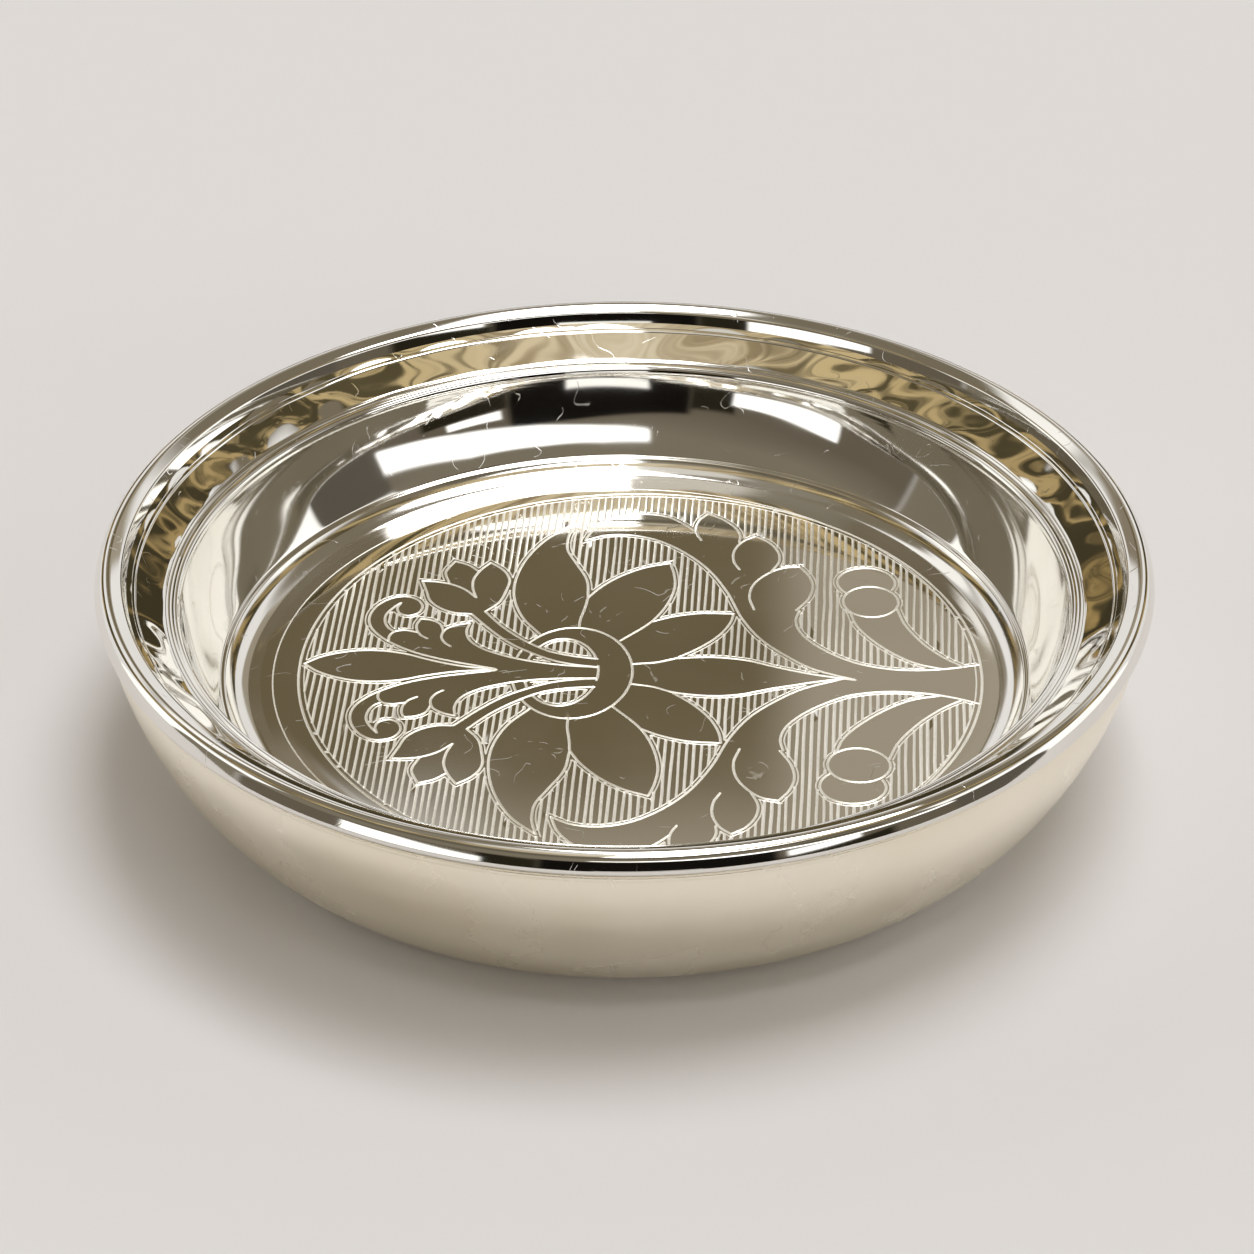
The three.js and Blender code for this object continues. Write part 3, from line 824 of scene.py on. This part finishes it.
# The light of the studio. Directions are in degrees: azimuth (0 is away from the camera, 90 to its right)
# and elevation. Sectors give colours by elevation; cards lie over them in order, then bands.
plain, front, white, lamp = (0.90, 0.885, 0.865), (0.20, 0.168, 0.118), (1.25, 1.24, 1.20), (2.0, 2.0, 1.98)
room, dimWall, shade = (0.21, 0.182, 0.135), (0.14, 0.12, 0.085), (0.25, 0.225, 0.175)
lowWall = (0.135, 0.113, 0.082)
sky = {
    "plain": [(0, (0.82, 0.80, 0.785)), (37, plain), (43, front), (90, front)],
    "sectors": [    # azimuth from, to, softness, colours by elevation
        (98, 262, 4, [(14, lowWall), (23, room), (42, room), (48, dimWall), (60, dimWall), (64, shade)]),
        (88, 112, 2, [(21, (0.11, 0.095, 0.075)), (25, white), (36, white), (42, front)]),
        (58, 88, 2, [(32, white), (37, plain), (43, front)]),
        (262, 281, 2, [(22, room), (26, white), (36, white), (42, front)]),
        (281, 302, 2, [(32, white), (37, plain), (43, front)]),
    ],
    "cards": [      # azimuth from, to, softness, elevation from, to, softness, colour
        (185, 350, 6, 63, 100, 3, shade),                       # the left of the ceiling is dim
        (185, 350, 6, 75, 105, 4, (0.72, 0.69, 0.63)),
        (316, 352, 5, 41, 49, 3, (1.1, 1.08, 1.05)),            # soft box that the right of the rim mirrors
        (-10, 185, 6, 62, 100, 3, (6.6, 6.6, 6.65)),            # the right of the ceiling: a large soft box
        (150, 197, 3, 3.5, 16, 1.5, (0.006, 0.005, 0.004)),     # black card behind the camera
        (197, 209, 2, 3.5, 14, 2, (0.02, 0.017, 0.010)),
        (126, 150, 3, 3, 8.6, 1.2, (0.02, 0.017, 0.010)),
        (165, 186, 1, 4, 7.3, 0.8, (1.2, 1.18, 1.12)),          # small low lamps
        (208, 237, 1.5, 4.4, 11, 0.8, (1.5, 1.5, 1.46)),
        (133, 148, 1.5, 9, 12, 0.8, (1.5, 1.5, 1.46)),
        (122, 142, 4, 33, 39, 1.5, (0.03, 0.025, 0.015)),       # dark card that the left of the bowl mirrors
        (342, 355, 4, 28, 39, 2, (0.25, 0.21, 0.15)),           # dim cards that the flat floor mirrors
        (357, 376, 3, 28, 39, 2, (0.36, 0.315, 0.24)),
        (350, 362.5, 1.2, 30.5, 35.3, 1.6, (0.152, 0.12, 0.068)),
    ],
    # A band follows an arc: by the distance in azimuth from its origin, the elevation of its middle, its
    # half width, and the darkest and lightest tones of its grain
    "bands": [
        {
            "origin": 112, "shown": (112, 187, 2),              # a long soft box, tilted
            "middle": [(0, 12.5), (24, 19.3), (45, 21.8), (62, 23.8), (75, 24)],
            "half": [(0, 4.5), (24, 5), (45, 5.2), (62, 3.6), (75, 2)],
            "dark": [(0, lamp)], "light": [(0, lamp)],
        },
        {
            "origin": 0, "shown": (-180, 180, 0),               # a warm band that the flare mirrors
            "middle": [(0, 4), (18, 5), (30, 15), (45, 28), (60, 42), (75, 52), (90, 60), (120, 70),
                       (150, 73.5), (180, 75)],
            "half": [(0, 6), (35, 9), (90, 9.5), (120, 8), (150, 6.5), (180, 6)],
            "dark": [(30, (0.05, 0.04, 0.02)), (90, (0.10, 0.08, 0.04)), (130, (0.36, 0.28, 0.16)),
                     (165, (0.60, 0.50, 0.34)), (180, (0.72, 0.62, 0.44))],
            "light": [(30, (0.36, 0.25, 0.10)), (90, (0.62, 0.48, 0.25)), (130, (0.72, 0.60, 0.40)),
                      (165, (0.76, 0.67, 0.49)), (180, (0.78, 0.68, 0.50))],
        },
    ],
    "bandEdge": 0.012,          # half the softness of a band's edge, in quarter turns
    "grain": (9, 0.4),          # how fine it is round the axis, and how much it changes with the elevation
    "grainEdges": (0.42, 0.62),
}


def colourRamp(tree, value, stops, whole=90):
    # straight between the stops; value 1 is the whole angle. A stop has a colour, or an elevation that
    # comes out in quarter turns
    ramp = addNode(tree, "ValToRGB", {0: value})
    marks = ramp.color_ramp.elements
    while len(marks) < len(stops):
        marks.new(1)
    while len(marks) > len(stops):
        marks.remove(marks[-1])
    for mark, (angle, tone) in zip(marks, stops):
        mark.position = angle / whole
        mark.color = (*tone, 1) if isinstance(tone, tuple) else (tone / 90, tone / 90, tone / 90, 1)
    return ramp.outputs["Color"]


def makeSky():
    # the colour of a direction; the mask of a sector, card or band is a soft step of the angle from its
    # middle
    world = bpy.data.worlds.new("studio")
    bpy.context.scene.world = world
    world.use_nodes = True
    tree = world.node_tree
    direction = addNode(tree, "TexCoord").outputs["Generated"]
    split = addNode(tree, "SeparateXYZ", {0: direction}).outputs
    rise = maths(tree, "MULTIPLY", maths(tree, "ARCSINE", split["Z"]), 2 / np.pi)
    bearing = maths(tree, "ARCTAN2", split["X"], split["Y"])

    def awayFrom(azimuth):
        # unsigned angle between the direction's azimuth and this one
        away = maths(tree, "SUBTRACT", bearing, np.radians(azimuth - view["turn"]))
        return maths(tree, "PINGPONG", away, np.pi)

    def within(left, right, soft):
        # 1 between two azimuths and 0 outside them
        if right - left >= 360:
            return 1.0
        half = (right - left) / 2
        inner, outer = np.radians(half - soft / 2), np.radians(half + soft / 2)
        return ranged(tree, awayFrom((left + right) / 2), inner, outer, 1.0, 0.0)

    def offMiddle(middle):
        # unsigned difference between the direction's elevation and this one, both in quarter turns
        return maths(tree, "ABSOLUTE", maths(tree, "SUBTRACT", rise, middle))

    colour = colourRamp(tree, rise, sky["plain"])
    for left, right, soft, stops in sky["sectors"]:
        colour = mixed(tree, within(left, right, soft), colour, colourRamp(tree, rise, stops))
    for left, right, soft, bottom, top, edge, tone in sky["cards"]:
        half = (top - bottom) / 2
        inner, outer = (half - edge / 2) / 90, (half + edge / 2) / 90
        mask = ranged(tree, offMiddle((top + bottom) / 180), inner, outer, 1.0, 0.0)
        colour = mixed(tree, maths(tree, "MULTIPLY", mask, within(left, right, soft)), colour, tone)
    # the grain of the bands is a noise on a cylinder
    fineness, climb = sky["grain"]
    across, away = maths(tree, "SINE", bearing), maths(tree, "COSINE", bearing)
    upright = maths(tree, "MULTIPLY", rise, climb * np.pi / 2)
    place = addNode(tree, "CombineXYZ", {"X": across, "Y": away, "Z": upright}).outputs[0]
    grain = ranged(tree, noise(tree, place, fineness, 2.0, 1.0), *sky["grainEdges"])
    edge = sky["bandEdge"]
    for band in sky["bands"]:
        along = maths(tree, "MULTIPLY", awayFrom(band["origin"]), 1 / np.pi)
        middle, half, dark, light = (colourRamp(tree, along, band[key], 180)
                                     for key in ("middle", "half", "dark", "light"))
        outside = maths(tree, "SUBTRACT", offMiddle(middle), half)
        mask = maths(tree, "MULTIPLY", ranged(tree, outside, -edge, edge, 1.0, 0.0), within(*band["shown"]))
        colour = mixed(tree, mask, colour, mixed(tree, grain, dark, light))
    tree.links.new(colour, tree.nodes["Background"].inputs["Color"])


makeSky()


def makeCamera():
    # the camera looks down by the elevation; place and view turn together about the upright axis
    turn, (x, y, z) = np.radians(view["turn"]), view["place"]
    data = bpy.data.cameras.new("camera")
    data.lens, data.sensor_width = view["lens"], view["sensor"]
    data.clip_start, data.clip_end = view["clip"]
    camera = bpy.data.objects.new("camera", data)
    across, away = x * np.cos(turn) - y * np.sin(turn), x * np.sin(turn) + y * np.cos(turn)
    camera.location = np.array([across, away, z]) * mm
    camera.rotation_euler = (np.radians(90 - view["elevation"]), 0, turn)
    bpy.context.scene.collection.objects.link(camera)
    bpy.context.scene.camera = camera


makeCamera()
bpy.context.scene.view_settings.view_transform = "Standard"
print("stage made")
